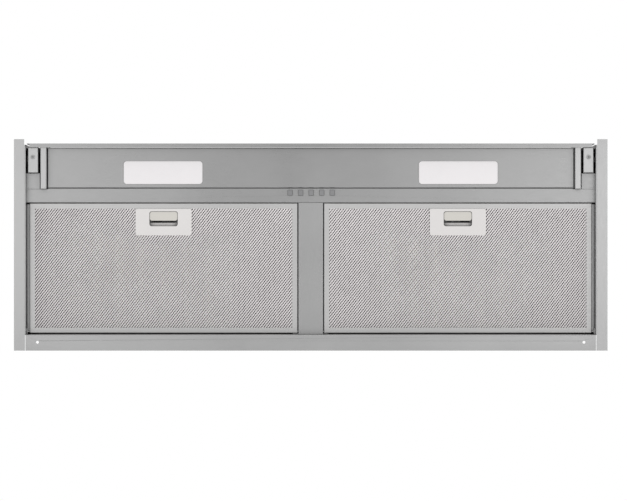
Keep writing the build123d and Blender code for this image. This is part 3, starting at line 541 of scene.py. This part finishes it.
def round_loop(middle, u, v, half_u, half_v, r):
    """Points round a rectangle with round corners, in the plane of u and v."""
    u, v, points = Vector(u), Vector(v), []
    for corner, (su, sv) in enumerate(((1, 1), (-1, 1), (-1, -1), (1, -1))):
        for step in range(7):
            a = radians(90 * corner + 15 * step)
            along_u = su * (half_u - r) + r * cos(a)
            along_v = sv * (half_v - r) + r * sin(a)
            points.append(Vector(middle) + u * along_u + v * along_v)
    return points


def placed(part, place, axis):
    """A part built along Z, turned to an axis and moved."""
    verts, faces = part
    turn = Vector((0, 0, 1)).rotation_difference(Vector(axis)).to_matrix()
    return [turn @ Vector(v) + Vector(place) for v in verts], faces


# ---------------------------------------------------------------- heads of screws and rivets
UNDERSIDE = 20.0  # fasteners of level sheets face down below this height, and up above it


def islands(node):
    """Each separate part of a CAD node as its low and high corner, in mm."""
    shape = bmesh.new()
    shape.from_mesh(nodes[node].data)
    bmesh.ops.remove_doubles(shape, verts=shape.verts, dist=0.01 * MM)
    left, found = set(shape.verts), []
    while left:
        start = left.pop()
        queue, group = [start], [start]
        while queue:
            for edge in queue.pop().link_edges:
                for vert in edge.verts:
                    if vert in left:
                        left.remove(vert)
                        queue.append(vert)
                        group.append(vert)
        spots = [nodes[node].matrix_world @ v.co / MM for v in group]
        found.append(tuple(Vector(pick(p[k] for p in spots) for k in range(3)) for pick in (min, max)))
    shape.free()
    return sorted(found, key=lambda corners: tuple(round(c, 2) for c in corners[0]))


def heads(node, shape):
    """A head on each of the node's fasteners, facing out of the sheet that it holds."""
    parts = []
    for low, high in islands(node):
        size, middle = high - low, (low + high) / 2
        k = min(range(3), key=lambda i: size[i])
        down = k == 2 and low.z < UNDERSIDE
        sign = -1 if down or (k != 2 and middle[k] < 0) else 1
        axis = [sign if i == k else 0 for i in range(3)]
        seat = middle - Vector(axis) * size[k] / 2
        parts.append(placed(shape(max(size) / 2, size[k]), seat, axis))
    return parts


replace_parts(built("screw_heads", heads("screws", cross_head), SCREW, "hood"), "screws")
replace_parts(built("rivet_heads", heads("rivets", rivet_head), SCREW, "hood"), "rivets")


# ---------------------------------------------------------------- latch springs
SPRING_WIRE = 0.22  # the wire's radius
SPRING_TURNS = 9


def latch_spring(side):
    """The wound spring behind a latch's slider, at its rest length. The real one shortens as the slider is
    pulled back.
    """
    low, high = box_mm(f"latch_spring_{side}")
    middle = (low + high) / 2
    wound = coil(high.y - low.y, (high.x - low.x) / 2 - SPRING_WIRE, SPRING_WIRE, SPRING_TURNS)
    turns = placed(wound, (middle.x, low.y, middle.z), (0, 1, 0))
    spring = built(f"coil_{side}", [turns], SPRING, f"filter_{side}")
    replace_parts(spring, f"latch_spring_{side}")
    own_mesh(spring)


for side in SIDES:
    latch_spring(side)


# ---------------------------------------------------------------- pressed beads that stiffen the big sheets
box_low, box_high = box_mm("fan_box_lid")  # its skirt is one sheet outside the walls of the box
deck_high = box_mm("top_deck")[1]
BOX_BEAD_WIDTH, BOX_BEAD_HEIGHT = 9.0, 1.3
BOX_BEAD_CORNER = 22
BEAD_BOTTOM, BEAD_TOP = deck_high.z + 32, box_low.z - 22
FRONT_MARGIN, SIDE_MARGIN = 30, 26  # from a face's upright edges to its bead
LID_BEAD_X, LID_MARGIN = 122, 34
DECK_RIB_WIDTH, DECK_RIB_HEIGHT = 16.0, 1.5
DECK_RIB_START, DECK_MARGIN = 205, 28
DECK_ROWS = ((-1, (-105, -45, 15, 75)), (1, (-105, 45, 90)))  # clear of what stands on the deck


def box_beads():
    """A round-cornered bead on each side of the fan box, in the plane of the skirt, and two on the lid."""
    level, half_height = (BEAD_BOTTOM + BEAD_TOP) / 2, (BEAD_TOP - BEAD_BOTTOM) / 2
    middle_y, half_depth = (box_low.y + box_high.y) / 2, (box_high.y - box_low.y) / 2
    faces = [
        ((0, box_low.y, level), (1, 0, 0), box_high.x - FRONT_MARGIN, (0, -1, 0)),
        ((0, box_high.y, level), (-1, 0, 0), box_high.x - FRONT_MARGIN, (0, 1, 0)),
        ((box_high.x, middle_y, level), (0, 1, 0), half_depth - SIDE_MARGIN, (1, 0, 0)),
        ((box_low.x, middle_y, level), (0, -1, 0), half_depth - SIDE_MARGIN, (-1, 0, 0)),
    ]
    beads = []
    for place, along, half_length, normal in faces:
        loop = round_loop(place, along, (0, 0, 1), half_length, half_height, BOX_BEAD_CORNER)
        beads.append(bead(loop, normal, BOX_BEAD_WIDTH, BOX_BEAD_HEIGHT, closed=True))
    for x in (-LID_BEAD_X, LID_BEAD_X):
        ends = [(x, y, box_high.z) for y in (box_low.y + LID_MARGIN, box_high.y - LID_MARGIN)]
        beads.append(bead(ends, (0, 0, 1), BOX_BEAD_WIDTH, BOX_BEAD_HEIGHT))
    return beads


def deck_ribs():
    """Straight ribs across the deck, on both sides of the fan box."""
    ribs = []
    for sign, rows in DECK_ROWS:
        for y in rows:
            ends = [(sign * x, y, deck_high.z) for x in (DECK_RIB_START, deck_high.x - DECK_MARGIN)]
            ribs.append(bead(ends, (0, 0, 1), DECK_RIB_WIDTH, DECK_RIB_HEIGHT))
    return ribs


built("box_beads", box_beads(), ZINC, "hood")
built("deck_ribs", deck_ribs(), ZINC, "hood")


# ---------------------------------------------------------------- spot welds down the box's seams
WELD_PROFILE = [(0, -0.1), (2.7, -0.1), (2.5, 0.16), (1.7, 0.16), (1.4, 0.04), (0, 0.04)]
WELDS_A_SEAM = 6
SEAM_INSET = 8  # from the box's upright edges, and beyond the beads above and below


def spot_welds():
    """A row of pressed rings down both seams of the box's left and right side."""
    marks = []
    start, end = BEAD_BOTTOM - SEAM_INSET, BEAD_TOP + SEAM_INSET
    for x, normal in ((box_low.x, (-1, 0, 0)), (box_high.x, (1, 0, 0))):
        for y in (box_low.y + SEAM_INSET, box_high.y - SEAM_INSET):
            for step in range(WELDS_A_SEAM):
                z = start + (end - start) * step / (WELDS_A_SEAM - 1)
                marks.append(placed(turned(WELD_PROFILE, sides=24), (x, y, z), normal))
    return marks


built("spot_welds", spot_welds(), ZINC, "hood")


# ---------------------------------------------------------------- ring round the collar, seal and lid screws
COLLAR_RADIUS = 75.0
RING_DROP = 13  # from the collar's rim
RING_PROFILE = [(-0.2, -2.6), (0.9, -1.7), (1.3, 0), (0.9, 1.7), (-0.2, 2.6), (-0.2, -2.6)]  # out, up
GLAND_LEVEL = 151.0  # the height of the gland's bore
SEAL_PROFILE = [(4.0, -3.0), (6.6, -3.0), (6.6, -0.6), (6.0, 0), (4.6, 0), (4.0, -0.8), (4.0, -3.0)]
LID_SCREW_INSET = 8
LID_SCREW_RADIUS, LID_SCREW_HEIGHT = 3.0, 1.4
LID_SCREW_DEPTH = 1.45  # from the cover's face down to a head's seat


def collar_ring():
    """The swaged ring round the collar, which stops the duct. The damper's pin gives its middle in y."""
    pin_low, pin_high = box_mm("damper_pin")
    middle = (0, (pin_low.y + pin_high.y) / 2, box_mm("outlet_collar")[1].z - RING_DROP)
    profile = [(COLLAR_RADIUS + out, up) for out, up in RING_PROFILE]
    return placed(turned(profile, sides=96), middle, (0, 0, 1))


def gland_seal():
    """The rubber ring in the mouth of the cable gland, flush with it."""
    low, high = box_mm("cable_gland")
    return placed(turned(SEAL_PROFILE), (high.x, (low.y + high.y) / 2, GLAND_LEVEL), (1, 0, 0))


def cover_screws():
    """Four screws in the corners of the terminal box's cover, sunk a little below its face."""
    low, high = box_mm("terminal_cover")
    screws = []
    for x in (low.x + LID_SCREW_INSET, high.x - LID_SCREW_INSET):
        for y in (low.y + LID_SCREW_INSET, high.y - LID_SCREW_INSET):
            head = cross_head(LID_SCREW_RADIUS, LID_SCREW_HEIGHT)
            screws.append(placed(head, (x, y, high.z - LID_SCREW_DEPTH), (0, 0, 1)))
    return screws


built("collar_ring", [collar_ring()], ZINC, "hood")
built("gland_seal", [gland_seal()], RUBBER, "hood")
built("cover_screws", cover_screws(), SCREW, "hood")


# ---------------------------------------------------------------- lamps
def area(name, place, target, size, power):
    """A soft rectangular lamp that looks at the target. Places and sizes in metres, power in watts."""
    lamp = bpy.data.lights.new(name, "AREA")
    lamp.shape = "RECTANGLE"
    lamp.size, lamp.size_y = size
    lamp.energy = power
    thing = bpy.data.objects.new(name, lamp)
    thing.location = place
    thing.rotation_euler = (Vector(target) - Vector(place)).to_track_quat("-Z", "Y").to_euler()
    bpy.context.scene.collection.objects.link(thing)


area("below_left", (-0.72, -0.1, -1.7), (-0.5, -0.05, 0), (0.4, 0.9), 1.9)
area("below_right", (0.72, -0.1, -1.7), (0.5, -0.05, 0), (0.4, 0.9), 2.25)
area("below_front", (0, -1.3, -1.0), (0, -0.1, 0), (1.8, 0.35), 3)
area("below_rear", (0, 1.6, -0.7), (0, -0.1, 0), (1.8, 0.4), 3.5)
area("above_front", (-0.9, -1.6, 1.9), (0, 0, 0.2), (1.4, 1.4), 9)
area("above_side", (1.7, 0.5, 1.7), (0, 0, 0.2), (1.2, 1.2), 6.5)


# ---------------------------------------------------------------- world
ROOM_GREY = (0.75, 0.75, 0.75, 1)
WHITE = (1, 1, 1, 1)


def studio():
    """An even pale room that lights the object. The camera, metal and lenses see it as plain white."""
    world = bpy.data.worlds.new("studio")
    world.use_nodes = True
    tree = world.node_tree
    tree.nodes.clear()
    room = add_node(tree, "ShaderNodeBackground", values={"Color": ROOM_GREY, "Strength": 1.0})
    white = add_node(tree, "ShaderNodeBackground", values={"Color": WHITE, "Strength": 1.0})
    rays = add_node(tree, "ShaderNodeLightPath").outputs
    direct = {0: rays["Is Camera Ray"], 1: rays["Is Glossy Ray"]}
    seen = add_node(tree, "ShaderNodeMath", direct, operation="ADD").outputs[0]
    through = {0: seen, 1: rays["Is Transmission Ray"]}
    shown_white = add_node(tree, "ShaderNodeMath", through, operation="ADD").outputs[0]
    choice = {0: shown_white, 1: room.outputs[0], 2: white.outputs[0]}
    mixed = add_node(tree, "ShaderNodeMixShader", choice).outputs[0]
    add_node(tree, "ShaderNodeOutputWorld", {"Surface": mixed})
    return world


bpy.context.scene.world = studio()


# ---------------------------------------------------------------- floor
FLOOR_HALF = 6.0
FLOOR_DROP = 0.0006  # below the object's lowest face
FLOOR_COLOUR = (0.8, 0.8, 0.79, 1)


def floor_paint():
    """Matt paint on the floor's upper side. From below the floor is clear."""
    ground = bpy.data.materials.new("floor")
    ground.use_nodes = True
    tree = ground.node_tree
    paint = tree.nodes["Principled BSDF"]
    paint.inputs["Base Color"].default_value = FLOOR_COLOUR
    paint.inputs["Roughness"].default_value = 0.8
    clear = add_node(tree, "ShaderNodeBsdfTransparent")
    behind = add_node(tree, "ShaderNodeNewGeometry").outputs["Backfacing"]
    choice = {0: behind, 1: paint.outputs[0], 2: clear.outputs[0]}
    mixed = add_node(tree, "ShaderNodeMixShader", choice).outputs[0]
    tree.links.new(mixed, tree.nodes["Material Output"].inputs["Surface"])
    return ground


def studio_floor():
    """A floor that the camera sees from above, with the object's shadow. It sends the object no light."""
    mesh = bpy.data.meshes.new("floor")
    corners = [(x * FLOOR_HALF, y * FLOOR_HALF, 0) for x, y in ((-1, -1), (1, -1), (1, 1), (-1, 1))]
    mesh.from_pydata(corners, [], [(0, 1, 2, 3)])
    mesh.materials.append(floor_paint())
    floor = bpy.data.objects.new("floor", mesh)
    floor.location.z = -FLOOR_DROP
    bpy.context.scene.collection.objects.link(floor)
    for ray in ("diffuse", "glossy", "transmission", "shadow", "volume_scatter"):
        setattr(floor, f"visible_{ray}", False)


studio_floor()


# ---------------------------------------------------------------- camera
SENSOR_WIDTH, FOCAL_LENGTH = 36.0, 246.7
CAMERA_PLACE = (0.0042, 0.0085, -6.5)  # far below the object, and off its middle as in the photo

lens = bpy.data.cameras.new("camera")
lens.sensor_width = SENSOR_WIDTH
lens.lens = FOCAL_LENGTH
lens.clip_start, lens.clip_end = 0.05, 50
camera = bpy.data.objects.new("camera", lens)
camera.location = CAMERA_PLACE
camera.rotation_euler = (pi, 0, 0)
bpy.context.scene.collection.objects.link(camera)
bpy.context.scene.camera = camera
bpy.context.scene.view_settings.view_transform = "Standard"
